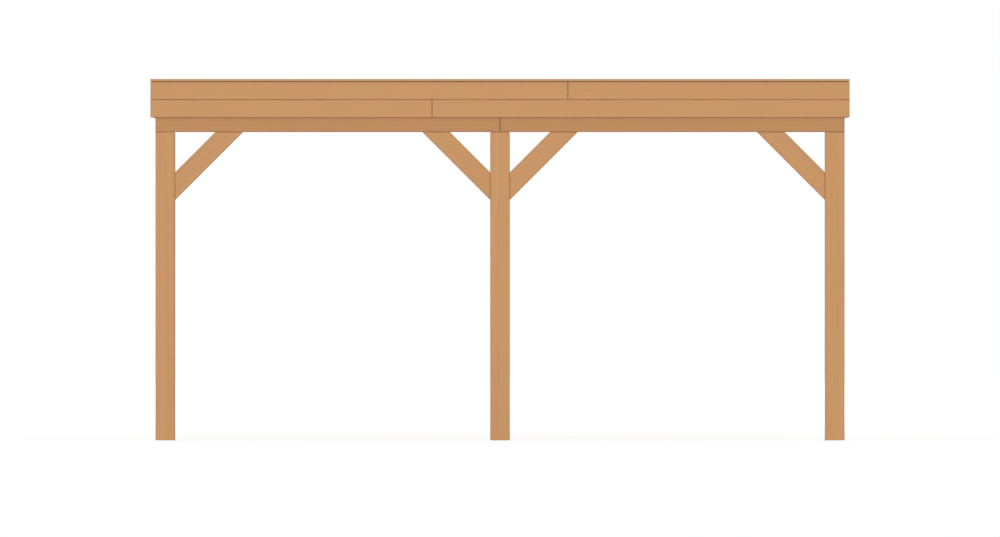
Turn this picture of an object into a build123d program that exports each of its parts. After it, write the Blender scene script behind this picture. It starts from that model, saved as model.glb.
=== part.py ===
from build123d import *
import os
from math import sqrt

# Attached timber patio cover: three posts with braces, a front beam in two halves, a beam on
# the house wall, rafters sawn to a slight fall, and a membrane roof behind a two-board fascia.
# Sizes are in millimetres. The origin is on the house wall, at the middle of the wall beam's
# back face. X runs along the wall, +Y points into the wall and +Z is up.

# Overall sizes
cover_width = 5000  # over the outer faces of the side fascias
cover_depth = 3000  # from the wall to the front face of the fascia
post_length = 2205  # from the ground to the underside of the front beam

# Posts, beams and braces
post_side = 140
beam_depth = 140
beam_thickness = 70
wall_beam_depth = 140
wall_beam_thickness = 70
brace_width = 140
brace_thickness = 70
brace_reach = 486  # from the corner of post and beam to the tip of the brace's long edge
arris = 5  # planed edge on posts, beams, braces and rafters

# Rafters
rafter_thickness = 60
rafter_depth = 140
rafter_notch = 20  # depth of the seats that sit over the front beam and the wall beam
rafter_bays = 10  # equal bays between the middles of the two side beams, an even number
roof_fall = 0.012  # drop of the roof towards the front, for each unit of its depth
wall_gap = 5  # air between the wall and the rafters, deck and upstands

# Roof deck of grooved boards
deck_thickness = 18
deck_board_cover = 121  # the visible face of one board
deck_groove = 4  # width and depth of each side of the groove between two boards

# Upstand and membrane
upstand_thickness = 44
membrane_thickness = 2

# Fascia boards and capping
fascia_thickness = 18
side_overhang = 18  # the end rafters stand out past the side beams, and the fascia is nailed there
fascia_board_height = 125
fascia_joint = 4  # open joint between the two rows and between board ends
fascia_lap = 35  # how far the fascia reaches down over the front beam
fascia_lip_height = 12
fascia_lip_thickness = 8
fascia_lip_clearance = 1
board_arris = 1  # planed edge on the fascia and capping boards
capping_thickness = 16
capping_width = 80
capping_joint = 2  # open joint between the two front lengths, along the board
capping_gap = 4  # air between the capping and the top of the fascia
capping_overhang = 2  # past the side fascias
capping_front_overhang = 14  # past the front fascia

# Metal bar that clamps the membrane to the wall
bar_thickness = 2
bar_height = 36
bar_lip = 6
bar_end_gap = 5

# Anchor holes in the wall beam
anchor_hole_radius = 6.5
anchor_end_distance = 294  # from each end of the wall beam to the first hole
anchor_stagger = 35  # holes lie this far above and below the middle of the beam in turn
left_anchor_count = 5  # holes in the left length of the wall beam
right_anchor_count = 3

# Roof outlet
outlet_bay_side = 1  # 1 puts the outlet at the right end of the roof, -1 at the left
outlet_from_beam = 110  # from the back of the front beam to the middle of the outlet
outlet_radius = 40
outlet_wall = 2
outlet_flange_side = 190
outlet_flange_thickness = 2
outlet_flange_corner = 20
outlet_funnel_radius = 52
outlet_funnel_depth = 32
outlet_spigot_length = 150
outlet_hole_clearance = 4

# Lines across the depth of the cover, from the front to the wall
fascia_front = -cover_depth
fascia_back = fascia_front + fascia_thickness
frame_front = fascia_back
front_beam_back = frame_front + beam_thickness
post_back = frame_front + post_side
upstand_back = fascia_back + upstand_thickness
wall_beam_front = -wall_beam_thickness
roof_back = -wall_gap

# Lines along the wall, from the middle out to either side
fascia_side = cover_width / 2
deck_side = fascia_side - fascia_thickness
frame_side = deck_side - side_overhang
side_beam_inner = frame_side - beam_thickness
upstand_inner = deck_side - upstand_thickness
end_rafter_inner = deck_side - rafter_thickness
post_centre = frame_side - post_side / 2

# Levels, from the wall beam down to the ground and up to the capping
wall_beam_top = wall_beam_depth / 2
front_beam_top = wall_beam_top - roof_fall * (wall_beam_front - front_beam_back)
front_beam_bottom = front_beam_top - beam_depth
ground = front_beam_bottom - post_length
fascia_bottom = front_beam_top - fascia_lap
upper_board_bottom = fascia_bottom + fascia_board_height + fascia_joint
fascia_top = upper_board_bottom + fascia_board_height
capping_bottom = fascia_top + capping_gap
upstand_top = capping_bottom - membrane_thickness

# Places that several pieces share
rafter_spacing = (side_beam_inner + frame_side) / rafter_bays
rafter_centres = [(n - rafter_bays / 2) * rafter_spacing for n in range(1, rafter_bays)]
joint_x = rafter_spacing  # fascia and capping boards meet over the first rafter off the middle
anchor_count = left_anchor_count + right_anchor_count
first_anchor_x = anchor_end_distance - side_beam_inner
anchor_spacing = -2 * first_anchor_x / (anchor_count - 1)
anchor_xs = [first_anchor_x + n * anchor_spacing for n in range(anchor_count)]
wall_joint_x = (anchor_xs[left_anchor_count - 1] + anchor_xs[left_anchor_count]) / 2
outlet_x = outlet_bay_side * (rafter_centres[-1] + end_rafter_inner) / 2
outlet_y = front_beam_back + outlet_from_beam
outlet_hole_radius = outlet_funnel_radius + outlet_hole_clearance
UP = Vector(0, 0, 1)


def rafter_top(y):
    """Height of the sloping plane on which the deck lies."""
    seat = wall_beam_top + rafter_depth - rafter_notch
    return seat + roof_fall * (y - wall_beam_front)


def deck_top(y):
    return rafter_top(y) + deck_thickness


def membrane_top(y):
    return deck_top(y) + membrane_thickness


def save(piece, label):
    """Names a finished piece and writes its file."""
    piece.part.label = label
    export_step(piece.part, f"parts/{label}.step")


def outline(*points, mode=Mode.ADD):
    """Fills the closed outline through these points of the current sketch."""
    Polygon(*points, align=None, mode=mode)


def make_post(label, centre_x):
    """A square post that stands on the ground, planed on its corners and round its top."""
    with BuildPart() as post:
        with BuildSketch(Plane.XY.offset(ground)):
            with Locations((centre_x, frame_front + post_side / 2)):
                Rectangle(post_side, post_side)
        extrude(amount=post_length)
        corners = post.edges().filter_by(Axis.Z)
        chamfer(corners + post.faces().sort_by(Axis.Z)[-1].edges(), arris)
    save(post, label)


def make_front_beam(label, low_x, high_x):
    """Half of the front beam, flush with the front of the posts and joined over the middle one."""
    with BuildPart() as beam:
        with BuildSketch(Plane.XY.offset(front_beam_bottom)):
            outline(
                (low_x, frame_front),
                (high_x, frame_front),
                (high_x, front_beam_back),
                (low_x, front_beam_back),
            )
        extrude(amount=beam_depth)
        chamfer(beam.faces().filter_by(Axis.Y).edges(), arris)
    save(beam, label)


def make_side_beam(label, side):
    """A level beam from the corner post's top back to the wall, flush with the post's side."""
    with BuildPart() as beam:
        with BuildSketch(Plane.XY.offset(front_beam_bottom)):
            outline(
                (side * side_beam_inner, front_beam_back),
                (side * frame_side, front_beam_back),
                (side * frame_side, 0),
                (side * side_beam_inner, 0),
            )
        extrude(amount=beam_depth)
        chamfer(beam.faces().filter_by(Axis.X).edges(), arris)
    save(beam, label)


def make_wall_beam(label, low_x, high_x):
    """One length of the beam that is bolted to the wall between the two side beams."""
    with BuildPart() as beam:
        with BuildSketch(Plane.XY.offset(-wall_beam_top)):
            outline((low_x, wall_beam_front), (high_x, wall_beam_front), (high_x, 0), (low_x, 0))
        extrude(amount=wall_beam_depth)
        chamfer(beam.faces().sort_by(Axis.Y)[0].edges(), arris)
        for number, hole_x in enumerate(anchor_xs):
            hole_z = anchor_stagger if number % 2 == 0 else -anchor_stagger
            if low_x < hole_x < high_x:
                with Locations(Plane.XZ * Location((hole_x, hole_z, -wall_beam_front))):
                    Hole(anchor_hole_radius, depth=wall_beam_thickness)
    save(beam, label)


def make_brace(label, corner, away):
    """A brace at 45 degrees in the corner under a beam. Its two ends are cut to the post's side
    and the beam's underside. away is the level direction from the post along the beam."""
    across = brace_width * sqrt(2)
    normal = Vector(away).cross(UP)
    with BuildPart() as brace:
        with BuildSketch(Plane(origin=corner, x_dir=away, z_dir=normal)):
            outline(
                (0, -brace_reach),
                (brace_reach, 0),
                (brace_reach - across, 0),
                (0, across - brace_reach),
            )
        extrude(amount=brace_thickness / 2, both=True)
        broad_faces = brace.faces().filter_by(Axis(corner, normal))
        chamfer(broad_faces.edges(), arris)
    save(brace, label)


def make_rafter(label, centre_x):
    """A rafter laid to the fall, with a level seat cut under each end."""
    lower_front = rafter_top(front_beam_back) - rafter_depth
    lower_back = rafter_top(wall_beam_front) - rafter_depth
    with BuildPart() as rafter:
        with BuildSketch(Plane.YZ.offset(centre_x - rafter_thickness / 2)):
            outline(
                (fascia_back, rafter_top(fascia_back)),
                (fascia_back, front_beam_top),
                (front_beam_back, front_beam_top),
                (front_beam_back, lower_front),
                (wall_beam_front, lower_back),
                (wall_beam_front, wall_beam_top),
                (roof_back, wall_beam_top),
                (roof_back, rafter_top(roof_back)),
            )
        extrude(amount=rafter_thickness)
        underside = rafter.faces().filter_by(lambda f: f.normal_at().Z < -0.5).sort_by(Axis.Z)[0]
        chamfer(underside.edges().filter_by(lambda e: abs(e.tangent_at(0.5).Y) > 0.9), arris)
    save(rafter, label)


def make_end_rafter(label, side):
    """A rafter that lies flat on the side beam, its top sawn to the fall."""
    low_x = min(side * end_rafter_inner, side * deck_side)
    with BuildPart() as rafter:
        with BuildSketch(Plane.YZ.offset(low_x)):
            outline(
                (fascia_back, rafter_top(fascia_back)),
                (fascia_back, front_beam_top),
                (roof_back, front_beam_top),
                (roof_back, rafter_top(roof_back)),
            )
        extrude(amount=rafter_thickness)
    save(rafter, label)


def make_roof_deck(label):
    """The deck on the rafters: boards laid along the wall, with a groove below each joint."""
    joint_count = int((roof_back - fascia_back) // deck_board_cover)
    with BuildPart() as deck:
        with BuildSketch(Plane.YZ.offset(-deck_side)):
            outline(
                (fascia_back, rafter_top(fascia_back)),
                (roof_back, rafter_top(roof_back)),
                (roof_back, deck_top(roof_back)),
                (fascia_back, deck_top(fascia_back)),
            )
            for number in range(joint_count):
                joint_y = fascia_back + (number + 1) * deck_board_cover
                if joint_y + deck_groove < roof_back:
                    outline(
                        (joint_y - deck_groove, rafter_top(joint_y - deck_groove)),
                        (joint_y + deck_groove, rafter_top(joint_y + deck_groove)),
                        (joint_y, rafter_top(joint_y) + deck_groove),
                        mode=Mode.SUBTRACT,
                    )
        extrude(amount=2 * deck_side)
        with Locations((outlet_x, outlet_y, deck_top(outlet_y))):
            Hole(outlet_hole_radius)
    save(deck, label)


def make_front_upstand(label):
    """The batten that holds the membrane up behind the front fascia."""
    with BuildPart() as upstand:
        with BuildSketch(Plane.YZ.offset(-deck_side)):
            outline(
                (fascia_back, deck_top(fascia_back)),
                (upstand_back, deck_top(upstand_back)),
                (upstand_back, upstand_top),
                (fascia_back, upstand_top),
            )
        extrude(amount=2 * deck_side)
    save(upstand, label)


def make_side_upstand(label, side):
    """A batten along a side of the roof, sawn to the fall so that its top is level."""
    low_x = min(side * upstand_inner, side * deck_side)
    with BuildPart() as upstand:
        with BuildSketch(Plane.YZ.offset(low_x)):
            outline(
                (upstand_back, deck_top(upstand_back)),
                (roof_back, deck_top(roof_back)),
                (roof_back, upstand_top),
                (upstand_back, upstand_top),
            )
        extrude(amount=upstand_thickness)
    save(upstand, label)


def make_membrane(label):
    """One sheet over the deck, up the inside of the upstands, over their tops and up the wall."""
    skin = membrane_thickness
    with BuildPart() as membrane:
        # The sheet's section from front to back: over the front upstand, along the roof, up the wall
        with BuildSketch(Plane.YZ.offset(-upstand_inner)):
            outline(
                (fascia_back, upstand_top),
                (upstand_back, upstand_top),
                (upstand_back, deck_top(upstand_back)),
                (0, deck_top(0)),
                (0, capping_bottom),
                (-skin, capping_bottom),
                (-skin, membrane_top(-skin)),
                (upstand_back + skin, membrane_top(upstand_back + skin)),
                (upstand_back + skin, capping_bottom),
                (fascia_back, capping_bottom),
            )
        extrude(amount=2 * upstand_inner)
        # The two sides: up the inside of each side upstand
        for low_x in (-upstand_inner, upstand_inner - skin):
            with BuildSketch(Plane.YZ.offset(low_x)):
                outline(
                    (upstand_back, deck_top(upstand_back)),
                    (0, deck_top(0)),
                    (0, capping_bottom),
                    (upstand_back, capping_bottom),
                )
            extrude(amount=skin)
        # The flaps that lie on the tops of the side upstands and of the front corners
        for low_x in (-deck_side, upstand_inner):
            with BuildSketch(Plane.XY.offset(upstand_top)):
                outline(
                    (low_x, fascia_back),
                    (low_x + upstand_thickness, fascia_back),
                    (low_x + upstand_thickness, roof_back),
                    (low_x, roof_back),
                )
            extrude(amount=skin)
        with Locations((outlet_x, outlet_y, membrane_top(outlet_y))):
            Hole(outlet_hole_radius)
    save(membrane, label)


def make_fascia_board(label, corner, inward, run, length, row):
    """One fascia board. corner is the foot of the fascia's outer face where the board starts,
    inward points from that face towards the frame, and run is the direction of the board.
    A lip on the back of the lower row stands behind the upper row, which is rebated for it."""
    back = fascia_thickness
    low = 0 if row == "lower" else fascia_board_height + fascia_joint
    high = low + fascia_board_height
    plane = Plane(origin=corner, x_dir=inward, z_dir=run)
    with BuildPart() as board:
        with BuildSketch(plane):
            outline((0, low), (back, low), (back, high), (0, high))
            if row == "lower":
                lip = back - fascia_lip_thickness
                lip_top = high + fascia_lip_height
                outline((lip, high), (back, high), (back, lip_top), (lip, lip_top))
            else:
                rebate = back - fascia_lip_thickness - fascia_lip_clearance
                rebate_top = low - fascia_joint + fascia_lip_height + fascia_lip_clearance
                outline(
                    (rebate, low),
                    (back, low),
                    (back, rebate_top),
                    (rebate, rebate_top),
                    mode=Mode.SUBTRACT,
                )
        extrude(amount=length)
        outer_face = board.faces().sort_by(Axis(corner, inward))[0]
        chamfer(outer_face.edges(), board_arris)
    save(board, label)


def make_capping(label, *corners):
    """A capping board laid flat on the membrane over an upstand, with these corners in plan."""
    with BuildPart() as capping:
        with BuildSketch(Plane.XY.offset(capping_bottom)):
            outline(*corners)
        extrude(amount=capping_thickness)
        chamfer(capping.faces().sort_by(Axis.Z)[-1].edges(), board_arris)
    save(capping, label)


def make_wall_bar(label):
    """The bent metal bar that clamps the top of the membrane to the wall, with a lip for sealant."""
    back = -membrane_thickness
    front = back - bar_thickness
    half_length = fascia_side + capping_overhang - capping_width - bar_end_gap
    with BuildPart() as bar:
        with BuildSketch(Plane.YZ.offset(-half_length)):
            outline(
                (back, capping_bottom - bar_height),
                (back, capping_bottom),
                (back - bar_lip, capping_bottom + bar_lip),
                (front - bar_lip, capping_bottom + bar_lip),
                (front, capping_bottom),
                (front, capping_bottom - bar_height),
            )
        extrude(amount=2 * half_length)
    save(bar, label)


def make_roof_outlet(label):
    """The outlet at the low edge of the roof: a flange on the membrane, a funnel through the
    deck and a spigot below it that takes the rainwater pipe."""
    plate_bottom = membrane_top(outlet_y)
    spigot_top = plate_bottom - outlet_funnel_depth
    spigot_bottom = spigot_top - outlet_spigot_length
    bore = outlet_radius - outlet_wall
    half = outlet_flange_side / 2
    rim_top = plate_bottom + outlet_flange_thickness + roof_fall * half
    with BuildPart() as outlet:
        with BuildSketch(Plane.YZ.offset(outlet_x - half)):
            low_y = outlet_y - half
            high_y = outlet_y + half
            outline(
                (low_y, membrane_top(low_y)),
                (high_y, membrane_top(high_y)),
                (high_y, membrane_top(high_y) + outlet_flange_thickness),
                (low_y, membrane_top(low_y) + outlet_flange_thickness),
            )
        extrude(amount=outlet_flange_side)
        fillet(outlet.edges().filter_by(Axis.Z), outlet_flange_corner)
        with BuildSketch(Plane.XZ.offset(-outlet_y)):
            outline(
                (outlet_x, plate_bottom),
                (outlet_x + outlet_funnel_radius, plate_bottom),
                (outlet_x + outlet_radius, spigot_top),
                (outlet_x + outlet_radius, spigot_bottom),
                (outlet_x, spigot_bottom),
            )
        revolve(axis=Axis((outlet_x, outlet_y, 0), (0, 0, 1)))
        with BuildSketch(Plane.XZ.offset(-outlet_y)):
            outline(
                (outlet_x, rim_top),
                (outlet_x + outlet_funnel_radius - outlet_wall, rim_top),
                (outlet_x + outlet_funnel_radius - outlet_wall, plate_bottom),
                (outlet_x + bore, spigot_top),
                (outlet_x + bore, spigot_bottom),
                (outlet_x, spigot_bottom),
            )
        revolve(axis=Axis((outlet_x, outlet_y, 0), (0, 0, 1)), mode=Mode.SUBTRACT)
    save(outlet, label)


os.makedirs("parts", exist_ok=True)

# Posts and the beams that they carry
make_post("post_left", -post_centre)
make_post("post_middle", 0)
make_post("post_right", post_centre)
make_front_beam("front_beam_left", -frame_side, 0)
make_front_beam("front_beam_right", 0, frame_side)
make_side_beam("side_beam_left", -1)
make_side_beam("side_beam_right", 1)
make_wall_beam("wall_beam_left", -side_beam_inner, wall_joint_x)
make_wall_beam("wall_beam_right", wall_joint_x, side_beam_inner)

# Braces: four under the front beam and one under each side beam
brace_y = frame_front + brace_thickness / 2
post_half = post_side / 2
front_corners = {
    "brace_left": (-post_centre + post_half, 1),
    "brace_middle_left": (-post_half, -1),
    "brace_middle_right": (post_half, 1),
    "brace_right": (post_centre - post_half, -1),
}
for brace_name, (post_face, direction) in front_corners.items():
    make_brace(brace_name, (post_face, brace_y, front_beam_bottom), (direction, 0, 0))
for side_name, side in (("left", -1), ("right", 1)):
    brace_x = side * (frame_side - brace_thickness / 2)
    make_brace(f"side_brace_{side_name}", (brace_x, post_back, front_beam_bottom), (0, 1, 0))

# Rafters, from left to right
for number, rafter_x in enumerate(rafter_centres, start=1):
    make_rafter(f"rafter_{number}", rafter_x)
make_end_rafter("end_rafter_left", -1)
make_end_rafter("end_rafter_right", 1)

# Roof
make_roof_deck("roof_deck")
make_front_upstand("upstand_front")
make_side_upstand("upstand_left", -1)
make_side_upstand("upstand_right", 1)
make_membrane("roof_membrane")
make_wall_bar("wall_bar")
make_roof_outlet("roof_outlet")

# Front fascia: the long board lies left in the upper row and right in the lower row
front_corner = (-fascia_side, fascia_front, fascia_bottom)
long_length = fascia_side + joint_x - fascia_joint / 2
short_length = fascia_side - joint_x - fascia_joint / 2
front_boards = {
    "fascia_front_upper_left": (0, long_length, "upper"),
    "fascia_front_upper_right": (long_length + fascia_joint, short_length, "upper"),
    "fascia_front_lower_left": (0, short_length, "lower"),
    "fascia_front_lower_right": (short_length + fascia_joint, long_length, "lower"),
}
for board_name, (start, length, row) in front_boards.items():
    corner = (front_corner[0] + start, fascia_front, fascia_bottom)
    make_fascia_board(board_name, corner, (0, 1, 0), (1, 0, 0), length, row)

# Side fascias: they butt against the back of the front boards and end at the wall
side_length = -fascia_back
for row in ("upper", "lower"):
    left_corner = (-fascia_side, 0, fascia_bottom)
    make_fascia_board(f"fascia_left_{row}", left_corner, (1, 0, 0), (0, -1, 0), side_length, row)
    right_corner = (fascia_side, fascia_back, fascia_bottom)
    make_fascia_board(f"fascia_right_{row}", right_corner, (-1, 0, 0), (0, 1, 0), side_length, row)

# Capping, mitred at the two front corners. Its two front lengths meet in a joint at 45 degrees, so
# that rain and light don't pass straight through, with its mouth above the joint of the lower row.
outer_x = fascia_side + capping_overhang
outer_y = fascia_front - capping_front_overhang
inner_x = outer_x - capping_width
inner_y = outer_y + capping_width
left_end = -joint_x - capping_joint / 2
right_end = -joint_x + capping_joint / 2
make_capping(
    "capping_front_left",
    (-outer_x, outer_y),
    (left_end, outer_y),
    (left_end + capping_width, inner_y),
    (-inner_x, inner_y),
)
make_capping(
    "capping_front_right",
    (right_end, outer_y),
    (outer_x, outer_y),
    (inner_x, inner_y),
    (right_end + capping_width, inner_y),
)
make_capping("capping_left", (-outer_x, outer_y), (-inner_x, inner_y), (-inner_x, 0), (-outer_x, 0))
make_capping("capping_right", (outer_x, outer_y), (inner_x, inner_y), (inner_x, 0), (outer_x, 0))
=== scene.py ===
from math import atan2, cos, exp, pi, radians, sin, sqrt
from random import Random

import bpy
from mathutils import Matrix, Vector


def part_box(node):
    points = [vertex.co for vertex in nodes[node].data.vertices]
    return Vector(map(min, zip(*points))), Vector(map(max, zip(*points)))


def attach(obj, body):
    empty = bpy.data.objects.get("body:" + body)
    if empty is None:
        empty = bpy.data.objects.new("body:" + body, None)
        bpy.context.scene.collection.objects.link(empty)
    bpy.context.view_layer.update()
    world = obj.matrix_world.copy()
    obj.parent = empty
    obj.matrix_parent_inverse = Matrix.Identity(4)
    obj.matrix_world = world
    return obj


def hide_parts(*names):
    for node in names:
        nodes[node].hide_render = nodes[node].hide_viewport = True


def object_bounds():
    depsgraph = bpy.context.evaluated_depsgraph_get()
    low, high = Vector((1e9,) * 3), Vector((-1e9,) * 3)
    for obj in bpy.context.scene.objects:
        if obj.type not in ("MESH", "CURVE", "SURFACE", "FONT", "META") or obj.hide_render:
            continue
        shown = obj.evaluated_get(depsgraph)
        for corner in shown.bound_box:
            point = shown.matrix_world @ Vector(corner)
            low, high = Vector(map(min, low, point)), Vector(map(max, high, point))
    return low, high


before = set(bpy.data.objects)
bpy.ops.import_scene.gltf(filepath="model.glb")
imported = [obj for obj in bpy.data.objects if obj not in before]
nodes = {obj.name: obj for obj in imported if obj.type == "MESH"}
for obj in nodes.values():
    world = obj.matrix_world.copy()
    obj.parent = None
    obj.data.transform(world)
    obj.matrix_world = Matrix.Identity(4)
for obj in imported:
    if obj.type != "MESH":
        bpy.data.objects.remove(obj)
cad_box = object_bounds()


# Posts: three squared softwood posts, 140 mm each way, standing on the ground and carrying the front
# beam. They are planed, eased on the corners and oiled, so the grain stays quiet and runs straight up.


class Value:
    """A socket in a material. Arithmetic on it adds Math nodes, and node() adds any other node."""

    def __init__(self, tree, socket=None):
        self.tree = tree
        self.socket = socket

    def node(self, kind, settings=None, inputs=None, output=0):
        """Adds a node: its settings are set first, then the values or links of its sockets."""
        made = self.tree.nodes.new(kind)
        for key, setting in (settings or {}).items():
            if key == "stops":
                stops = made.color_ramp.elements
                for place, _ in setting[2:]:
                    stops.new(place)
                for stop, (place, tone) in zip(stops, setting):
                    stop.position = place
                    stop.color = (tone, tone, tone, 1)
            else:
                setattr(made, key, setting)
        for key, value in (inputs or {}).items():
            if isinstance(value, Value):
                self.tree.links.new(value.socket, made.inputs[key])
            else:
                made.inputs[key].default_value = value
        return Value(self.tree, made.outputs[output])

    def maths(self, operation, *values):
        return self.node("ShaderNodeMath", {"operation": operation}, dict(enumerate(values)))

    def vector(self, operation, *values, output=0):
        inputs = dict(enumerate(values))
        return self.node("ShaderNodeVectorMath", {"operation": operation}, inputs, output)

    def dot(self, vector, axis):
        return self.vector("DOT_PRODUCT", vector, tuple(axis), output="Value")

    def mixed(self, first, second):
        """A colour that goes from first to second as this value goes from 0 to 1. A Mix node takes
        colours in its sockets 6 and 7 and gives the new one in output 2."""
        settings = {"data_type": "RGBA"}
        return self.node("ShaderNodeMix", settings, {0: self, 6: first, 7: second}, 2)

    def noise(self, vector, scale, detail=2.0, roughness=0.5):
        inputs = {"Vector": vector, "Scale": scale, "Detail": detail, "Roughness": roughness}
        return self.node("ShaderNodeTexNoise", None, inputs)

    def ramp(self, *stops):
        return self.node("ShaderNodeValToRGB", {"stops": stops}, {0: self})

    def __add__(self, other):
        return self.maths("ADD", self, other)

    def __sub__(self, other):
        return self.maths("SUBTRACT", self, other)

    def __mul__(self, other):
        return self.maths("MULTIPLY", self, other)

    def __truediv__(self, other):
        return self.maths("DIVIDE", self, other)

    def __rsub__(self, other):
        return self.maths("SUBTRACT", other, self)

    __radd__ = __add__
    __rmul__ = __mul__


def new_finish(name):
    """An empty material, the shader at its end and a Value to build the rest from."""
    material = bpy.data.materials.new(name)
    material.use_nodes = True
    tree = material.node_tree
    return material, tree.nodes["Principled BSDF"], Value(tree)


def plug(shader, start, **values):
    """Sets or links sockets of a shader. Words in a socket's name are joined by underscores."""
    for key, value in values.items():
        socket = shader.inputs[key.replace("_", " ")]
        if isinstance(value, Value):
            start.tree.links.new(value.socket, socket)
        else:
            socket.default_value = value


oiled_pine = (0.571, 0.302, 0.127)
weathered_grey = (0.36, 0.32, 0.27)
rosy_share = (1.113, 1.083, 1.111)
golden_share = (1.089, 1.111, 1.062)
dark_share = (0.58, 0.47, 0.36)
ring_width = 0.0034
heart_sway, heart_lean = 0.05, 0.012
ring_depth = 0.20
patch_depth = 0.10
fibre_depth = 0.16
end_depth = 0.20
usual_depth = 0.16
grain_turn = Random(7)


def wood_finish(name, along, centre, heart, tone=1.0, streak=0.03, painted_edge_shade=0.10, worn=0.0, loose=None):
    """Planed and oiled softwood. along is the way the grain runs, centre is a point of the piece, and
    heart is how far the middle of the tree lay from there, so that rings cross the faces as sawn.
    The oil gathers on sawn ends, which stay darker. The planed edges are darkened as well, and that
    is painted shade for the dark lines where the pieces meet: painted_edge_shade says how much. A lower
    tone is darker and warmer; on the front beams it is painted shade from the fascia above. worn is how far
    the sun has greyed it.
    In a mesh of loose boards, loose is the word that starts the names of two attributes: one shifts the
    grain from board to board and one gives each its own tone."""
    material, shader, start = new_finish(name)
    along = Vector(along).normalized()
    side = along.cross(Vector((0, 0, 1) if abs(along.z) < 0.5 else (0, 1, 0))).normalized()
    rise = side.cross(along).normalized()

    place = start.node("ShaderNodeTexCoord", output="Object")
    own_tone = 0.0
    if loose:
        shift = start.node("ShaderNodeAttribute", {"attribute_name": f"{loose}_shift"}, output="Vector")
        own_tone = start.node("ShaderNodeAttribute", {"attribute_name": f"{loose}_tone"}, output="Fac")
        place = start.vector("ADD", place, shift)
    place = start.vector("SUBTRACT", place, tuple(centre))
    length, across, height = [start.dot(place, axis) for axis in (along, side, rise)]
    seed = grain_turn.uniform(0, 40)

    def stretched(lengthwise, crosswise):
        parts = {"X": length * lengthwise + seed, "Y": across * crosswise, "Z": height * crosswise}
        return start.node("ShaderNodeCombineXYZ", None, parts)

    # Growth rings about the heart of the tree, which wanders a little along the piece
    sway = start.noise(stretched(0.7, 2.0), 1.0, 1.0)
    lean = start.noise(stretched(1.3, 9.0), 1.0, 2.0)
    out_across = across - heart[0] + (sway - 0.5) * heart_sway
    out_height = height - heart[1] + (lean - 0.5) * heart_lean
    radius = start.maths("SQRT", out_across * out_across + out_height * out_height)
    uneven = start.noise(start.node("ShaderNodeCombineXYZ", None, {"X": radius * 34 + seed}), 1.0, 3.0)
    rings = radius / ring_width + uneven * 5.0
    late_wood = start.maths("FRACT", rings)
    late_wood = late_wood.ramp((0.0, 0.35), (0.08, 0.0), (0.55, 0.12), (0.90, 1.0), (1.0, 0.35))

    # Fibres, and the broader streaks of colour that show from a distance
    fibre = start.noise(stretched(5.0, 520.0), 1.0, 3.0, 0.6)
    band = start.noise(stretched(0.55, 38.0), 1.0, 2.0, 0.55)
    patch = start.noise(stretched(1.6, 6.0), 1.0, 2.0)
    hue = (start.noise(stretched(0.8, 26.0), 1.3, 2.0) + start.noise(stretched(2.8, 5.0), 1.0, 2.0)) * 0.5
    hue = hue.ramp((0.41, 0.0), (0.59, 1.0))

    # Sawn ends and planed edges, by the way the surface faces
    facing = start.node("ShaderNodeNewGeometry", output="Normal")
    turns = [start.maths("ABSOLUTE", start.dot(facing, axis)) for axis in (along, side, rise)]
    end_turn, side_turn, rise_turn = turns
    end_cut = end_turn.ramp((0.80, 0.0), (0.92, 1.0))
    squarest = start.maths("MAXIMUM", end_turn, start.maths("MAXIMUM", side_turn, rise_turn))
    painted_edge_mask = squarest.ramp((0.80, 1.0), (0.90, 0.0))

    pale = (band - 0.5) * (streak * 4.0) + (patch - 0.5) * patch_depth
    pale = pale + (fibre - 0.5) * fibre_depth + own_tone
    # painted_edge_mask picks out the chamfers, and painted_edge_shade darkens them as painted shade where
    # pieces meet
    darkness = late_wood * ring_depth - pale + end_cut * end_depth + painted_edge_mask * painted_edge_shade + usual_depth
    amount = start.maths("MAXIMUM", start.maths("MINIMUM", darkness, 1.0), 0.0)
    # the tone darkens and warms the pine; on the front beams this is painted shade from the fascia
    pine_tone_and_shade = Vector([part * tone**depth for part, depth in zip(oiled_pine, (1.0, 1.3, 1.6))])
    rosy, golden, dark = [
        tuple((pine_tone_and_shade * Vector(share)).lerp(Vector(weathered_grey), worn)) + (1,)
        for share in (rosy_share, golden_share, dark_share)
    ]
    colour = amount.mixed(hue.mixed(rosy, golden), dark)

    relief = fibre * 0.6 + late_wood * 0.4 + end_cut * fibre
    bump = start.node("ShaderNodeBump", None, {"Strength": 0.25, "Distance": 0.0004, "Height": relief})
    plug(shader, start, Base_Color=colour, Roughness=0.56 + fibre * 0.16 - late_wood * 0.06, Normal=bump)
    plug(shader, start, Specular_IOR_Level=0.32)
    return material


def dress(node, finish):
    """Gives a CAD node its finish."""
    slots = nodes[node].data.materials
    slots.clear()
    slots.append(finish)


def middle(node):
    """The middle of a CAD node's box."""
    low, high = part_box(node)
    return (low + high) / 2


for number, post in enumerate(("post_left", "post_middle", "post_right")):
    heart = (0.19 + 0.03 * number, 0.24 - 0.05 * number)
    tone = (1.0, 0.985, 1.0)[number]
    dress(post, wood_finish(f"{post}_finish", (0, 0, 1), middle(post), heart, tone=tone, streak=0.09))


# Front beam: two lengths of 70 x 140 mm timber that meet over the middle post, flush with its face.
# The fascia hangs down in front of its top edge.

# Painted shade: the whole beam is darker (tone 0.88) for the shade under the fascia, and its planed edges
# are darkened more (painted_edge_shade 0.35)
beam_look_with_painted_shade = {"tone": 0.88, "streak": 0.045, "painted_edge_shade": 0.35}
for number, beam in enumerate(("front_beam_left", "front_beam_right")):
    heart = (-0.16 - 0.04 * number, 0.20)
    dress(beam, wood_finish(f"{beam}_finish", (1, 0, 0), middle(beam), heart, **beam_look_with_painted_shade))


# Braces: short timbers at 45 degrees, cut to the post and to the beam above, flush with the front.
# Each is held by a pair of countersunk screws near both ends, driven in through its long edge.

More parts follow.
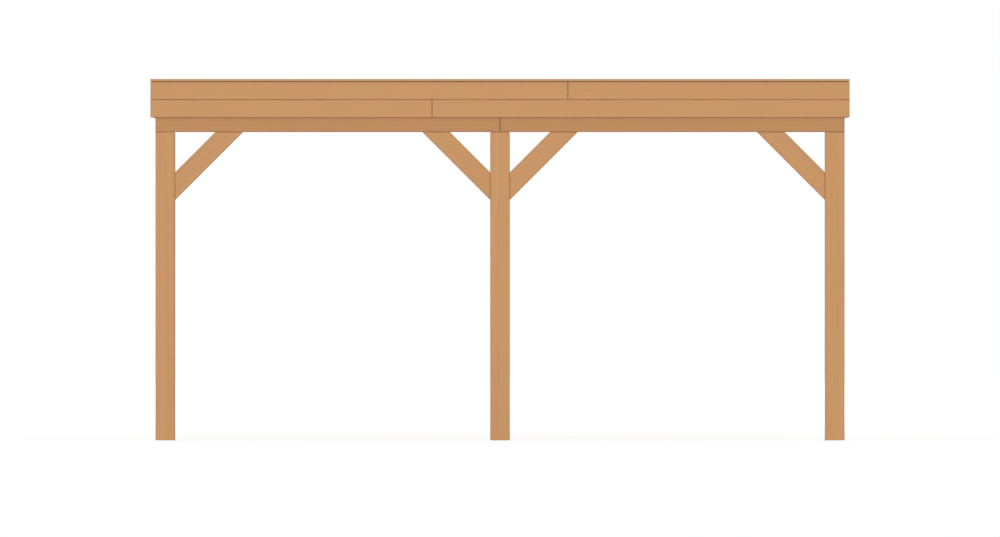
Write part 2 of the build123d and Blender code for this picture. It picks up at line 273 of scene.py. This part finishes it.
brace_ways = {
    "brace_left": (1, 0, 1),
    "brace_middle_left": (-1, 0, 1),
    "brace_middle_right": (1, 0, 1),
    "brace_right": (-1, 0, 1),
    "side_brace_left": (0, 1, 1),
    "side_brace_right": (0, 1, 1),
}
for number, (brace, way) in enumerate(brace_ways.items()):
    heart = (0.15 + 0.02 * number, -0.18 + 0.03 * number)
    dress(brace, wood_finish(f"{brace}_finish", way, middle(brace), heart, tone=0.985, streak=0.06))


def metal_finish(name, colour, roughness):
    """Bare metal with a faint, uneven sheen."""
    material, shader, start = new_finish(name)
    place = start.node("ShaderNodeTexCoord", output="Object")
    cloud = start.noise(place, 60.0, 3.0, 0.6)
    fine = start.noise(place, 900.0, 2.0)
    bright = tuple(min(1.0, part * 1.06) for part in colour) + (1,)
    dull = tuple(part * 0.84 for part in colour) + (1,)
    bump = start.node("ShaderNodeBump", None, {"Strength": 0.15, "Distance": 0.0001, "Height": fine})
    plug(shader, start, Base_Color=cloud.mixed(bright, dull), Roughness=roughness + (cloud - 0.5) * 0.24)
    plug(shader, start, Normal=bump, Metallic=1.0)
    return material


screw_steel = metal_finish("screw_steel", (0.56, 0.55, 0.53), 0.38)


def add_mesh(name, points, faces, finish, smooth=False):
    """A new piece of the cover from its points and faces."""
    mesh = bpy.data.meshes.new(name)
    mesh.from_pydata([tuple(point) for point in points], [], faces)
    mesh.update()
    mesh.materials.append(finish)
    piece = bpy.data.objects.new(name, mesh)
    bpy.context.scene.collection.objects.link(piece)
    if smooth:
        mesh.polygons.foreach_set("use_smooth", [True] * len(mesh.polygons))
    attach(piece, "root")
    return piece


def screw_heads(name, places, radius, rise, finish, recess=True):
    """Round heads on a surface, in one mesh. places holds the centre and the outward direction of each.
    A recess is the six-lobed hollow for the driver. Without one it is a plain nail head or washer."""
    sides = 24 if recess else 12
    sunk = -0.25 * radius
    rings = [(radius, sunk), (radius, 0.6 * rise), (0.93 * radius, rise)]
    if recess:
        drive = 0.52 * radius
        drive_depth = 0.45 * radius
        rings += [(drive, rise), (0.86 * drive, rise - drive_depth)]
    points, faces = [], []
    for centre, outward in places:
        turn = Vector(outward).to_track_quat("Z", "Y")
        first = len(points)
        for level, (reach, height) in enumerate(rings):
            for step in range(sides):
                angle = 2 * pi * step / sides
                lobed = 1 + 0.16 * cos(6 * angle) if level > 2 else 1
                spoke = Vector((reach * lobed * cos(angle), reach * lobed * sin(angle), height))
                points.append(Vector(centre) + turn @ spoke)
        for level in range(len(rings) - 1):
            for step in range(sides):
                here = first + level * sides + step
                beside = first + level * sides + (step + 1) % sides
                faces.append((here, beside, beside + sides, here + sides))
        last = first + (len(rings) - 1) * sides
        faces.append(tuple(range(last, last + sides)))
    return add_mesh(name, points, faces, finish)


brace_screws = []
screw_inset = 0.085
screw_spread = 0.019
for brace, way in brace_ways.items():
    low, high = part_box(brace)
    along = Vector(way).normalized()
    level = Vector((way[0], way[1], 0))
    outward = (level - Vector((0, 0, 1))).normalized()
    sideways = along.cross(outward)
    foot = (low + high) / 2 - level * (high.z - low.z) / 2
    foot.z = low.z
    head = foot + (level + Vector((0, 0, 1))) * (high.z - low.z)
    for tip, inward in ((foot, along), (head, -along)):
        for spread in (-screw_spread, screw_spread):
            brace_screws.append((tip + inward * screw_inset + sideways * spread, outward))
screw_heads("brace_screws", brace_screws, radius=0.0065, rise=0.0004, finish=screw_steel)


# Side beams and wall beam: 70 x 140 mm timbers. The side beams run level from the corner posts to the
# wall, and the wall beam is bolted to the wall between them, its anchor holes still open.

for number, beam in enumerate(("side_beam_left", "side_beam_right")):
    heart = (0.05 - 0.08 * number, 0.13)
    dress(beam, wood_finish(f"{beam}_finish", (0, 1, 0), middle(beam), heart))
for number, beam in enumerate(("wall_beam_left", "wall_beam_right")):
    heart = (0.07, -0.11 + 0.03 * number)
    dress(beam, wood_finish(f"{beam}_finish", (1, 0, 0), middle(beam), heart))


# Rafters: nine timbers of 60 x 140 mm laid to the fall, with level seats over the front beam and the
# wall beam, each held by a screw from both sides. One more lies on each side beam, and its top is sawn
# to the fall.

rafter_names = [f"rafter_{number}" for number in range(1, 10)]
for number, rafter in enumerate(rafter_names + ["end_rafter_left", "end_rafter_right"]):
    heart = (grain_turn.uniform(-0.12, 0.12), grain_turn.choice((-1, 1)) * grain_turn.uniform(0.05, 0.16))
    tone = grain_turn.uniform(0.94, 1.04)
    dress(rafter, wood_finish(f"{rafter}_finish", (0, 1, 0), middle(rafter), heart, tone=tone))

rafter_screws = []
seat_screw_height = 0.042
for rafter in rafter_names:
    low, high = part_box(rafter)
    for beam in ("front_beam_left", "wall_beam_left"):
        beam_low, beam_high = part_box(beam)
        seat_middle = (beam_low.y + beam_high.y) / 2
        for face, outward in ((low.x, -1), (high.x, 1)):
            rafter_screws.append(((face, seat_middle, beam_high.z + seat_screw_height), (outward, 0, 0)))
screw_heads("rafter_screws", rafter_screws, radius=0.0055, rise=0.0004, finish=screw_steel)


# Roof deck: tongued and grooved boards, 18 mm thick with a V-joint below, laid along the wall on the
# rafters. Each row is two lengths that meet over a rafter, and the next row meets over another one.

deck_low, deck_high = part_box("roof_deck")
board_thickness = 0.018
board_cover = 0.121
board_bevel = 0.004
tongue_reach = 0.005
tongue_low, tongue_high = 0.0072, 0.0118
groove_room = 0.0003
board_end_gap = 0.0004
roof_fall = (deck_high.z - deck_low.z - board_thickness) / (deck_high.y - deck_low.y)
rafter_lines = [middle(rafter).x for rafter in rafter_names]


def deck_bottom(y):
    return deck_low.z + roof_fall * (y - deck_low.y)


def board_outline(width, last):
    """The board's section: across the roof, and up from the deck's underside."""
    lower = groove_room
    groove_in = tongue_reach + groove_room
    edge = [(board_bevel, 0), (width - board_bevel, 0), (width, board_bevel)]
    if not last:
        reach = width + tongue_reach
        edge += [(width, tongue_low), (reach, tongue_low), (reach, tongue_high), (width, tongue_high)]
    edge += [(width, board_thickness), (lower, board_thickness)]
    edge += [(lower, tongue_high + groove_room), (groove_in, tongue_high + groove_room)]
    edge += [(groove_in, tongue_low - groove_room), (lower, tongue_low - groove_room)]
    return edge + [(lower, board_bevel)]


def saw_round_hole(piece, centre, radius, reach, sides=48):
    """Cuts an upright round hole through a piece."""
    angles = [2 * pi * step / sides for step in range(sides)]
    rim = [(centre.x + radius * cos(angle), centre.y + radius * sin(angle)) for angle in angles]
    points = [(x, y, centre.z + z) for z in (-reach, reach) for x, y in rim]
    faces = [tuple(reversed(range(sides))), tuple(range(sides, 2 * sides))]
    for step in range(sides):
        beside = (step + 1) % sides
        faces.append((step, beside, beside + sides, step + sides))
    saw_mesh = bpy.data.meshes.new("saw")
    saw_mesh.from_pydata(points, [], faces)
    saw = bpy.data.objects.new("saw", saw_mesh)
    bpy.context.scene.collection.objects.link(saw)
    cut = piece.modifiers.new("hole", "BOOLEAN")
    cut.operation = "DIFFERENCE"
    cut.object = saw
    graph = bpy.context.evaluated_depsgraph_get()
    shaped = piece.evaluated_get(graph)
    sawn = bpy.data.meshes.new_from_object(shaped, preserve_all_data_layers=True, depsgraph=graph)
    piece.modifiers.clear()
    piece.data = sawn
    bpy.data.objects.remove(saw)
    bpy.data.meshes.remove(saw_mesh)


outlet = middle("roof_outlet")
funnel_hole = 0.056
rim_room = 0.001
joint_rafters = (2, 6, 4, 7, 1, 5, 3)
most_shift = (9.0, 0.05, 0.07)
most_tone = 0.09
board_points, board_faces, board_shifts, board_tones = [], [], [], []
board_turn = Random(11)
row_count = int((deck_high.y - deck_low.y) // board_cover) + 1
for row in range(row_count):
    front = deck_low.y + row * board_cover
    width = min(board_cover, deck_high.y - front)
    section = board_outline(width, row == row_count - 1)
    joint = rafter_lines[joint_rafters[row % len(joint_rafters)]]
    for start_x, end_x in ((deck_low.x, joint - board_end_gap), (joint + board_end_gap, deck_high.x)):
        first = len(board_points)
        count = len(section)
        for x in (start_x, end_x):
            board_points += [(x, front + y, deck_bottom(front + y) + z) for y, z in section]
        for step in range(count):
            beside = (step + 1) % count
            board_faces.append((first + step, first + step + count, first + beside + count, first + beside))
        board_faces.append(tuple(range(first, first + count)))
        board_faces.append(tuple(reversed(range(first + count, first + 2 * count))))
        shift = [board_turn.uniform(-most, most) for most in most_shift]
        tone = board_turn.uniform(-most_tone, most_tone)
        board_shifts += shift * (2 * count)
        board_tones += [tone] * (2 * count)
        if start_x < outlet.x < end_x and front < outlet.y < front + width:
            sawn_shift, sawn_tone = shift, tone

deck_heart = (0.0, 0.085)
deck_wood = wood_finish(
    "deck_wood", (1, 0, 0), middle("roof_deck"), deck_heart, tone=1.1, streak=0.05, loose="board"
)
deck_boards = add_mesh("deck_boards", board_points, board_faces, deck_wood)
shifts = deck_boards.data.attributes.new("board_shift", "FLOAT_VECTOR", "POINT")
shifts.data.foreach_set("vector", board_shifts)
tones = deck_boards.data.attributes.new("board_tone", "FLOAT", "POINT")
tones.data.foreach_set("value", board_tones)
saw_round_hole(deck_boards, outlet, funnel_hole, reach=1.0)
for vertex in deck_boards.data.vertices:
    if (vertex.co - outlet).xy.length < funnel_hole + rim_room:
        deck_boards.data.attributes["board_shift"].data[vertex.index].vector = sawn_shift
        deck_boards.data.attributes["board_tone"].data[vertex.index].value = sawn_tone
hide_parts("roof_deck")


# Upstands: sawn battens fixed on the edge of the deck. They hold the membrane up behind the fascia and
# are covered by it and by the capping.

upstand_ways = {"upstand_front": (1, 0, 0), "upstand_left": (0, 1, 0), "upstand_right": (0, 1, 0)}
for upstand, way in upstand_ways.items():
    dress(upstand, wood_finish(f"{upstand}_finish", way, middle(upstand), (0.06, 0.04), tone=0.95))


# Roof membrane: one sheet of black rubber, glued down on the deck, turned up inside the upstands and
# over their tops, and up the wall. It lies with a few soft ripples, and dust gathers at the low edge.

sheet_low, sheet_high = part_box("roof_membrane")
sheet_thickness = 0.0015
sheet_clear = 0.002
upstand_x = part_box("upstand_right")[0].x
upstand_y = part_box("upstand_front")[1].y
bend_steps = ((0.0006, 1.0, -0.003), (0.0010, 0.6, 0.0))
cove_start = 0.0014
cove_steps = ((0.0, 0.026), (0.0006, 0.014), (0.003, 0.006), (0.008, 0.0018), (0.017, 0.0))
tray_step = 0.027


def fold_lines(face, inward, edge):
    """Lines of the sheet beside an edge of the roof: the place of each, how far it stands up towards
    the top of the upstand, and its height above that. Without an edge the sheet ends at the face."""
    lines = []
    crease = face
    if edge is not None:
        crease = face - inward * 0.001
        lines += [(edge, 1.0, 0.0), ((edge + face) / 2, 1.0, 0.0), (face - inward * 0.004, 1.0, 0.0)]
    lines.append((crease, 1.0, -0.0004))
    lines += [(face + inward * step, share, lift) for step, share, lift in bend_steps]
    lines += [(face + inward * (cove_start + step), 0.0, lift) for step, lift in cove_steps]
    return lines


def roof_lines(low, high):
    """All lines of the sheet in one direction, from its low edge to its high edge."""
    start, finish = low[-1][0], high[-1][0]
    count = int((finish - start) / tray_step)
    tray = [(start + (finish - start) * n / count, 0.0, 0.0) for n in range(1, count)]
    return low + tray + high[::-1]


face_x = upstand_x - sheet_clear
face_y = upstand_y + sheet_clear
x_lines = roof_lines(fold_lines(-face_x, 1, sheet_low.x), fold_lines(face_x, -1, sheet_high.x))
y_lines = roof_lines(fold_lines(face_y, 1, sheet_low.y), fold_lines(-sheet_clear, -1, None))


def tray_height(y):
    return deck_bottom(y) + board_thickness + sheet_clear


ripple_turn = Random(5)
ripple_count = 26
ripple_rise = 0.0035
swell_rise = 0.0006
flat_border = 0.03
flat_wall_border = 0.04
border_fade = 0.05
ripples = []
for _ in range(ripple_count):
    spot = (ripple_turn.uniform(-2.3, 2.3), ripple_turn.uniform(-2.85, -0.12))
    heading = ripple_turn.choice((0.0, 0.5 * pi)) + ripple_turn.gauss(0, 0.25)
    ripples.append((spot, heading, ripple_turn.uniform(0.15, 0.6), ripple_turn.uniform(0.010, 0.022)))
ripples += [((side * 2.30, -2.80), side * 0.25 * pi, 0.16, 0.012) for side in (-1, 1)]


def ripple_height(x, y):
    """How far the sheet stands off the deck here, in soft folds that fade out at their ends."""
    height = 0.0
    for (spot_x, spot_y), heading, reach, breadth in ripples:
        along = (x - spot_x) * cos(heading) + (y - spot_y) * sin(heading)
        across = (y - spot_y) * cos(heading) - (x - spot_x) * sin(heading)
        height += ripple_rise * exp(-((along / reach) ** 2) - (across / breadth) ** 2)
    swell = sin(3.1 * x + 1.3 * sin(2.3 * y)) * sin(4.7 * y + 0.8 * sin(1.9 * x))
    height += swell_rise * (1 + swell)
    room_x = face_x - flat_border - abs(x)
    room_y = min(y - face_y - flat_border, -flat_wall_border - y)
    return height * min(max(min(room_x, room_y) / border_fade, 0.0), 1.0)


sheet_hole = 0.060
drawn_inside, drawn_outside = 0.020, 0.012
calm_reach, calm_fade = 0.13, 0.1

sheet_points = []
for y, y_rise, y_lift in y_lines:
    tray = tray_height(y)
    for x, x_rise, x_lift in x_lines:
        from_x = tray + (sheet_high.z - tray) * x_rise + x_lift
        from_y = tray + (sheet_high.z - tray) * y_rise + y_lift
        flat = x_rise == 0 and y_rise == 0
        distance = sqrt((x - outlet.x) ** 2 + (y - outlet.y) ** 2)
        stir = min(max((distance - calm_reach) / calm_fade, 0.0), 1.0)
        sheet_points.append([x, y, max(from_x, from_y) + (ripple_height(x, y) * stir if flat else 0.0)])
columns = len(x_lines)
sheet_faces = []
for row in range(len(y_lines) - 1):
    for column in range(columns - 1):
        here = row * columns + column
        sheet_faces.append((here, here + 1, here + 1 + columns, here + columns))

# The sheet is cut out round the outlet: points near the cut are drawn onto its circle
cut_away = set()
for index, point in enumerate(sheet_points):
    distance = sqrt((point[0] - outlet.x) ** 2 + (point[1] - outlet.y) ** 2)
    if sheet_hole - drawn_inside < distance < sheet_hole + drawn_outside:
        point[0] = outlet.x + (point[0] - outlet.x) * sheet_hole / distance
        point[1] = outlet.y + (point[1] - outlet.y) * sheet_hole / distance
    elif distance < sheet_hole:
        cut_away.add(index)
sheet_faces = [face for face in sheet_faces if not cut_away.intersection(face)]


def rubber_finish(name, dust_from, dust_to):
    """Black rubber sheet with a fine texture. Dust turns it grey towards the low edge of the roof."""
    material, shader, start = new_finish(name)
    place = start.node("ShaderNodeTexCoord", output="Object")
    depth = start.node("ShaderNodeSeparateXYZ", None, {0: place}, "Y")
    nearness = (dust_to - depth) / (dust_to - dust_from)
    low_edge = start.maths("MINIMUM", start.maths("MAXIMUM", nearness, 0.0), 1.0)
    cloud = start.noise(place, 3.2, 5.0, 0.62)
    speck = start.noise(place, 260.0, 2.0, 0.7)
    dust = (cloud.ramp((0.42, 0.0), (0.72, 1.0)) * 0.55 + low_edge * cloud * 0.7) * (0.6 + speck * 0.5)
    grain = start.noise(place, 1400.0, 2.0, 0.6)
    colour = (dust * 0.55).mixed((0.026, 0.027, 0.029, 1), (0.135, 0.128, 0.118, 1))
    bump = start.node("ShaderNodeBump", None, {"Strength": 0.3, "Distance": 0.0003, "Height": grain})
    plug(shader, start, Base_Color=colour, Roughness=0.52 + dust * 0.3 + grain * 0.08, Normal=bump)
    return material


dust_width = 0.5
rubber = rubber_finish("membrane_rubber", sheet_low.y, sheet_low.y + dust_width)
membrane = add_mesh("membrane_sheet", sheet_points, sheet_faces, rubber, smooth=True)
thickness = membrane.modifiers.new("thickness", "SOLIDIFY")
thickness.thickness = sheet_thickness
thickness.offset = -1
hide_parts("roof_membrane")


# Wall bar: a bent aluminium bar that clamps the top of the membrane to the wall. It is held by screws
# with washers every 200 mm, and the lip above it is filled with sealant.

bar_low, bar_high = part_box("wall_bar")
dress("wall_bar", metal_finish("mill_aluminium", (0.74, 0.745, 0.75), 0.36))
bar_thickness = 0.002
bar_face = bar_high.y - bar_thickness
bar_lip_rise = 0.006
bar_bend = bar_high.z - bar_lip_rise
bar_screw_count = 25
bar_end_room = 0.025
bar_screw_height = (bar_low.z + bar_bend) / 2
bar_screw_spacing = (bar_high.x - bar_low.x - 2 * bar_end_room) / (bar_screw_count - 1)
washer_radius, washer_thickness = 0.008, 0.0012
bar_screws, bar_washers = [], []
for number in range(bar_screw_count):
    x = bar_low.x + bar_end_room + bar_screw_spacing * number
    bar_washers.append(((x, bar_face, bar_screw_height), (0, -1, 0)))
    bar_screws.append(((x, bar_face - washer_thickness, bar_screw_height), (0, -1, 0)))
screw_heads("bar_washers", bar_washers, washer_radius, washer_thickness, screw_steel, recess=False)
screw_heads("bar_screws", bar_screws, radius=0.005, rise=0.0024, finish=screw_steel)


def sealant_finish(name):
    """Grey sealant, smooth and slightly glossy, with faint streaks from the tool that drew it off."""
    material, shader, start = new_finish(name)
    place = start.node("ShaderNodeTexCoord", output="Object")
    drawn = start.noise(start.vector("MULTIPLY", place, (6.0, 300.0, 300.0)), 1.0, 2.0)
    colour = drawn.mixed((0.20, 0.20, 0.20, 1), (0.26, 0.26, 0.255, 1))
    bump = start.node("ShaderNodeBump", None, {"Strength": 0.3, "Distance": 0.0003, "Height": drawn})
    plug(shader, start, Base_Color=colour, Roughness=0.42 + drawn * 0.1, Normal=bump)
    return material


bead_points, bead_faces = [], []
bead_foot = ((0.0, 0.0), (-0.0019, 0.0))
bead_face = ((-0.0074, 0.0055), (-0.0045, 0.0048), (-0.0020, 0.0056), (0.0, 0.0078))
bead_section = bead_foot + bead_face
bead_steps = 120
for step in range(bead_steps + 1):
    x = bar_low.x + (bar_high.x - bar_low.x) * step / bead_steps
    wave = 0.0004 * sin(2.7 * step) + 0.0003 * sin(1.1 * step + 2)
    for y, z in bead_section:
        bead_points.append((x, y, bar_bend + z + (wave if (y, z) in bead_face else 0.0)))
edge_count = len(bead_section)
for step in range(bead_steps):
    for edge in range(edge_count):
        here = step * edge_count + edge
        beside = step * edge_count + (edge + 1) % edge_count
        bead_faces.append((here, here + edge_count, beside + edge_count, beside))
bead_faces.append(tuple(range(edge_count)))
bead_faces.append(tuple(reversed(range(bead_steps * edge_count, (bead_steps + 1) * edge_count))))
add_mesh("wall_sealant", bead_points, bead_faces, sealant_finish("grey_sealant"), smooth=True)


# Roof outlet: a moulded black outlet set in the low corner of the roof. Its flange is screwed down on
# the membrane, its spigot hangs below the deck, and a wire cage on top keeps leaves out.


def moulded_finish(name, colour, roughness):
    """Moulded plastic with a fine spark texture and a faint bloom."""
    material, shader, start = new_finish(name)
    place = start.node("ShaderNodeTexCoord", output="Object")
    bloom = start.noise(place, 22.0, 3.0, 0.6)
    spark = start.noise(place, 1700.0, 1.0)
    pale = tuple(part * 1.7 for part in colour) + (1,)
    bump = start.node("ShaderNodeBump", None, {"Strength": 0.2, "Distance": 0.0002, "Height": spark})
    plug(shader, start, Base_Color=bloom.ramp((0.45, 0.0), (0.8, 1.0)).mixed(colour + (1,), pale))
    plug(shader, start, Roughness=roughness + bloom * 0.12, Normal=bump)
    return material


dress("roof_outlet", moulded_finish("outlet_plastic", (0.030, 0.031, 0.033), 0.42))
flange_thickness = 0.002
flange_top = tray_height(outlet.y) + flange_thickness
flange_low, flange_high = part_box("roof_outlet")
screw_reach = (flange_high.x - flange_low.x) / 2 - 0.020
screw_spots = ((1, 0), (1, 1), (0, 1), (-1, 1), (-1, 0), (-1, -1), (0, -1), (1, -1))
flange_screws = []
for across, back in screw_spots:
    x, y = outlet.x + across * screw_reach, outlet.y + back * screw_reach
    flange_screws.append(((x, y, flange_top + roof_fall * (y - outlet.y)), (0, 0, 1)))
screw_heads("flange_screws", flange_screws, radius=0.0045, rise=0.0014, finish=screw_steel)


def add_rod(points, faces, path, radius, closed=False, sides=8):
    """Adds a round wire along a path to the lists of a mesh."""
    first = len(points)
    count = len(path)
    for index, point in enumerate(path):
        after = path[(index + 1) % count] if closed or index < count - 1 else point
        before = path[index - 1] if closed or index > 0 else point
        turn = (after - before).to_track_quat("Z", "Y")
        for side in range(sides):
            angle = 2 * pi * side / sides
            points.append(point + turn @ Vector((radius * cos(angle), radius * sin(angle), 0)))
    for index in range(count if closed else count - 1):
        for side in range(sides):
            beside = (side + 1) % sides
            near = first + index * sides
            far = first + ((index + 1) % count) * sides
            faces.append((near + side, near + beside, far + beside, far + side))
    if not closed:
        faces.append(tuple(reversed(range(first, first + sides))))
        faces.append(tuple(range(first + (count - 1) * sides, first + count * sides)))


cage_wire = 0.0013
cage_radius = 0.046
cage_rise = 0.062
cage_foot = Vector((outlet.x, outlet.y, flange_top - 0.004))
stem_radius = cage_radius - 0.006
stem_length, stem_step, stem_count = 0.045, 0.004, 8
bow_steps = 10
hoop_sides = 32
hoops = ((0.002, cage_radius + 0.001), (0.038, cage_radius * 0.86))
cage_points, cage_faces = [], []
wire_count = 8
for number in range(wire_count):
    angle = pi * (2 * number + 0.5) / wire_count
    outward = Vector((cos(angle), sin(angle), 0))
    stem_heights = [-stem_length + stem_step * step for step in range(stem_count)]
    path = [cage_foot + outward * stem_radius + Vector((0, 0, height)) for height in stem_heights]
    for step in range(bow_steps + 1):
        swing = step / bow_steps * 0.5 * pi
        reach = cage_radius * cos(swing * 0.96) ** 0.8
        path.append(cage_foot + outward * reach + Vector((0, 0, cage_rise * sin(swing))))
    add_rod(cage_points, cage_faces, path, cage_wire)
for height, reach in hoops:
    angles = [2 * pi * step / hoop_sides for step in range(hoop_sides)]
    hoop = [cage_foot + Vector((reach * cos(angle), reach * sin(angle), height)) for angle in angles]
    add_rod(cage_points, cage_faces, hoop, cage_wire, closed=True)
zinc_wire = metal_finish("zinc_wire", (0.50, 0.51, 0.52), 0.45)
add_mesh("leaf_cage", cage_points, cage_faces, zinc_wire, smooth=True)


# Fascia: two rows of planed boards, 18 mm thick, nailed to the rafter ends and along the sides. The
# lower row has a lip behind the upper one, and the boards meet end to end over a rafter.

front_boards = [f"fascia_front_{row}_{side}" for row in ("upper", "lower") for side in ("left", "right")]
side_boards = [f"fascia_{side}_{row}" for side in ("left", "right") for row in ("upper", "lower")]
for number, board in enumerate(front_boards + side_boards):
    way = (1, 0, 0) if board in front_boards else (0, 1, 0)
    heart = (0.21 + 0.02 * (number % 3), 0.17 - 0.03 * (number % 4))
    dress(board, wood_finish(f"{board}_finish", way, middle(board), heart, streak=0.032))

fascia_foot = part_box("fascia_front_lower_left")[0]
upper_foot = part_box("fascia_front_upper_left")[0]
lower_joint, upper_joint = middle("rafter_4").x, middle("rafter_6").x
lower_rises, upper_rises = (0.018, 0.102), (0.016, 0.096)
nail_rows = [(fascia_foot.z + rise, lower_joint) for rise in lower_rises]
nail_rows += [(upper_foot.z + rise, upper_joint) for rise in upper_rises]
end_nail_inset = 0.03
joint_nail_offset = 0.013
same_place = 0.01
nail_radius, nail_rise = 0.0021, 0.0002
fascia_nails = []
for x in [deck_low.x + end_nail_inset, *rafter_lines, deck_high.x - end_nail_inset]:
    for height, joint in nail_rows:
        spots = (x - joint_nail_offset, x + joint_nail_offset) if abs(x - joint) < same_place else (x,)
        fascia_nails += [((spot, fascia_foot.y, height), (0, -1, 0)) for spot in spots]
side_nail_count = 7
side_nail_inset = 0.06
for number in range(side_nail_count):
    y = -side_nail_inset + (fascia_foot.y + 2 * side_nail_inset) * number / (side_nail_count - 1)
    for height, _ in nail_rows:
        fascia_nails += [((-side * fascia_foot.x, y, height), (side, 0, 0)) for side in (-1, 1)]
nail_steel = metal_finish("nail_steel", (0.27, 0.21, 0.15), 0.55)
screw_heads("fascia_nails", fascia_nails, nail_radius, nail_rise, nail_steel, recess=False)


# Capping: 16 mm boards laid flat on the membrane over the upstands, mitred at the two front corners
# and held by pairs of nails. The two front lengths meet at a slant, and sun and rain have greyed all
# four boards a little.

cappings = {
    "capping_front_left": (1, 0, 0),
    "capping_front_right": (1, 0, 0),
    "capping_left": (0, 1, 0),
    "capping_right": (0, 1, 0),
}
for number, (capping, way) in enumerate(cappings.items()):
    heart = (0.02 + 0.02 * number, 0.10)
    # Painted shade: the cappings' planed edges are darkened strongly (painted_edge_shade 0.6) along their
    # arrises
    dress(capping, wood_finish(f"{capping}_finish", way, middle(capping), heart, painted_edge_shade=0.6, worn=0.15))

capping_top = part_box("capping_front_left")[1].z
batten_low, batten_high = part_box("upstand_front")
side_batten_low, side_batten_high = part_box("upstand_right")
batten_inset = 0.010
corner_inset = 0.09
slant_nail_offset = 0.026
mitre_room = 0.14
joint_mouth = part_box("capping_front_right")[0]
capping_nails = []
for y in (batten_low.y + batten_inset, batten_high.y - batten_inset):
    joint = joint_mouth.x + y - joint_mouth.y
    spots = [deck_low.x + corner_inset, *rafter_lines, deck_high.x - corner_inset]
    spots = [x for x in spots if abs(x - joint_mouth.x) > same_place]
    spots += [joint - slant_nail_offset, joint + slant_nail_offset]
    capping_nails += [((x, y, capping_top), (0, 0, 1)) for x in spots]
for number in range(side_nail_count):
    y = -side_nail_inset + (fascia_foot.y + side_nail_inset + mitre_room) * number / (side_nail_count - 1)
    for x in (side_batten_low.x + batten_inset, side_batten_high.x - batten_inset):
        capping_nails += [((side * x, y, capping_top), (0, 0, 1)) for side in (-1, 1)]
screw_heads("capping_nails", capping_nails, nail_radius, nail_rise, nail_steel, recess=False)


# Floor and light: a wide white floor that takes the cover's shadow, an even sky and one soft sun in
# front, as in a studio. The camera looks from far off and from just below the fascia, so that it shows
# almost no perspective and next to nothing of the fascia's underside.

ground = cad_box[0].z
floor_half = 45.0
corners = ((-1, -1), (1, -1), (1, 1), (-1, 1))
floor_mesh = bpy.data.meshes.new("floor")
floor_mesh.from_pydata([(x * floor_half, y * floor_half, ground) for x, y in corners], [], [(0, 1, 2, 3)])
floor = bpy.data.objects.new("floor", floor_mesh)
bpy.context.scene.collection.objects.link(floor)


def backdrop_rays(start):
    """1 for a ray of the camera, of a reflection or through glass, and 0 for light on the cover."""
    kinds = ("Is Camera Ray", "Is Glossy Ray", "Is Transmission Ray")
    seen, mirrored, through = [start.node("ShaderNodeLightPath", output=kind) for kind in kinds]
    return start.maths("MAXIMUM", start.maths("MAXIMUM", seen, mirrored), through)


floor_finish, floor_shader, start = new_finish("floor_white")
plug(floor_shader, start, Base_Color=(0.88, 0.88, 0.88, 1), Roughness=0.9, Specular_IOR_Level=0.0)
seen = backdrop_rays(start)
from_below = start.node("ShaderNodeNewGeometry", output="Backfacing")
roof_middle = (0.0, -1.5, ground)
away = start.vector("SUBTRACT", start.node("ShaderNodeTexCoord", output="Object"), roof_middle)
away = start.vector("LENGTH", away, output="Value")
shadow_reach = 3.5
shadow_fade = 6.0
glow_share = 0.72
glow_strength = 1.17  # with the light on the open floor it adds up to white
fade = ((away - shadow_reach) / shadow_fade).ramp((0.0, glow_share), (1.0, 1.0))
glow = start.node("ShaderNodeEmission", None, {"Color": (1, 1, 1, 1), "Strength": glow_strength})
lit = Value(start.tree, floor_shader.outputs["BSDF"])
pale = start.node("ShaderNodeMixShader", None, {0: seen * fade, 1: lit, 2: glow})
clear = start.node("ShaderNodeBsdfTransparent")
shown = start.node("ShaderNodeMixShader", None, {0: seen * from_below, 1: pale, 2: clear})
start.tree.links.new(shown.socket, start.tree.nodes["Material Output"].inputs["Surface"])
floor_mesh.materials.append(floor_finish)

sky_strength = 0.54
world = bpy.data.worlds.new("studio")
bpy.context.scene.world = world
world.use_nodes = True
sky = Value(world.node_tree)
backdrop = world.node_tree.nodes["Background"]
strength = sky_strength + backdrop_rays(sky) * (1.0 - sky_strength)
world.node_tree.links.new(strength.socket, backdrop.inputs["Strength"])
backdrop.inputs["Color"].default_value = (1, 1, 1, 1)

lamp_data = bpy.data.lights.new("soft_lamp", "SUN")
lamp_data.angle = radians(26)
lamp_data.energy = 1.50
lamp = bpy.data.objects.new("soft_lamp", lamp_data)
bpy.context.scene.collection.objects.link(lamp)
lamp_height = radians(14)
lamp_turn = radians(20)
lamp_level = Vector((-sin(lamp_turn), -cos(lamp_turn), 0.0))
lamp_way = lamp_level * cos(lamp_height) + Vector((0.0, 0.0, sin(lamp_height)))
lamp.location = 8.0 * lamp_way
lamp.rotation_euler = (-lamp_way).to_track_quat("-Z", "Y").to_euler()

photo_width, photo_height = 1000, 537
photo_ground_row = 440.42
photo_scale = 0.00715
camera_data = bpy.data.cameras.new("camera")
camera_data.lens = 850.0
camera_data.sensor_width = 36.0
camera_distance = photo_width * photo_scale * camera_data.lens / camera_data.sensor_width
camera_data.clip_start = 1.0
camera_data.clip_end = camera_distance + 200.0
camera = bpy.data.objects.new("camera", camera_data)
bpy.context.scene.collection.objects.link(camera)
eye_below_fascia = 0.4
eye_height = fascia_foot.z - eye_below_fascia
picture_middle = ground + (photo_ground_row - photo_height / 2) * photo_scale
camera.location = (0, cad_box[0].y - camera_distance, eye_height)
camera.rotation_euler = (0.5 * pi - atan2(eye_height - picture_middle, camera_distance), 0, 0)
bpy.context.scene.camera = camera
bpy.context.scene.view_settings.view_transform = "Standard"
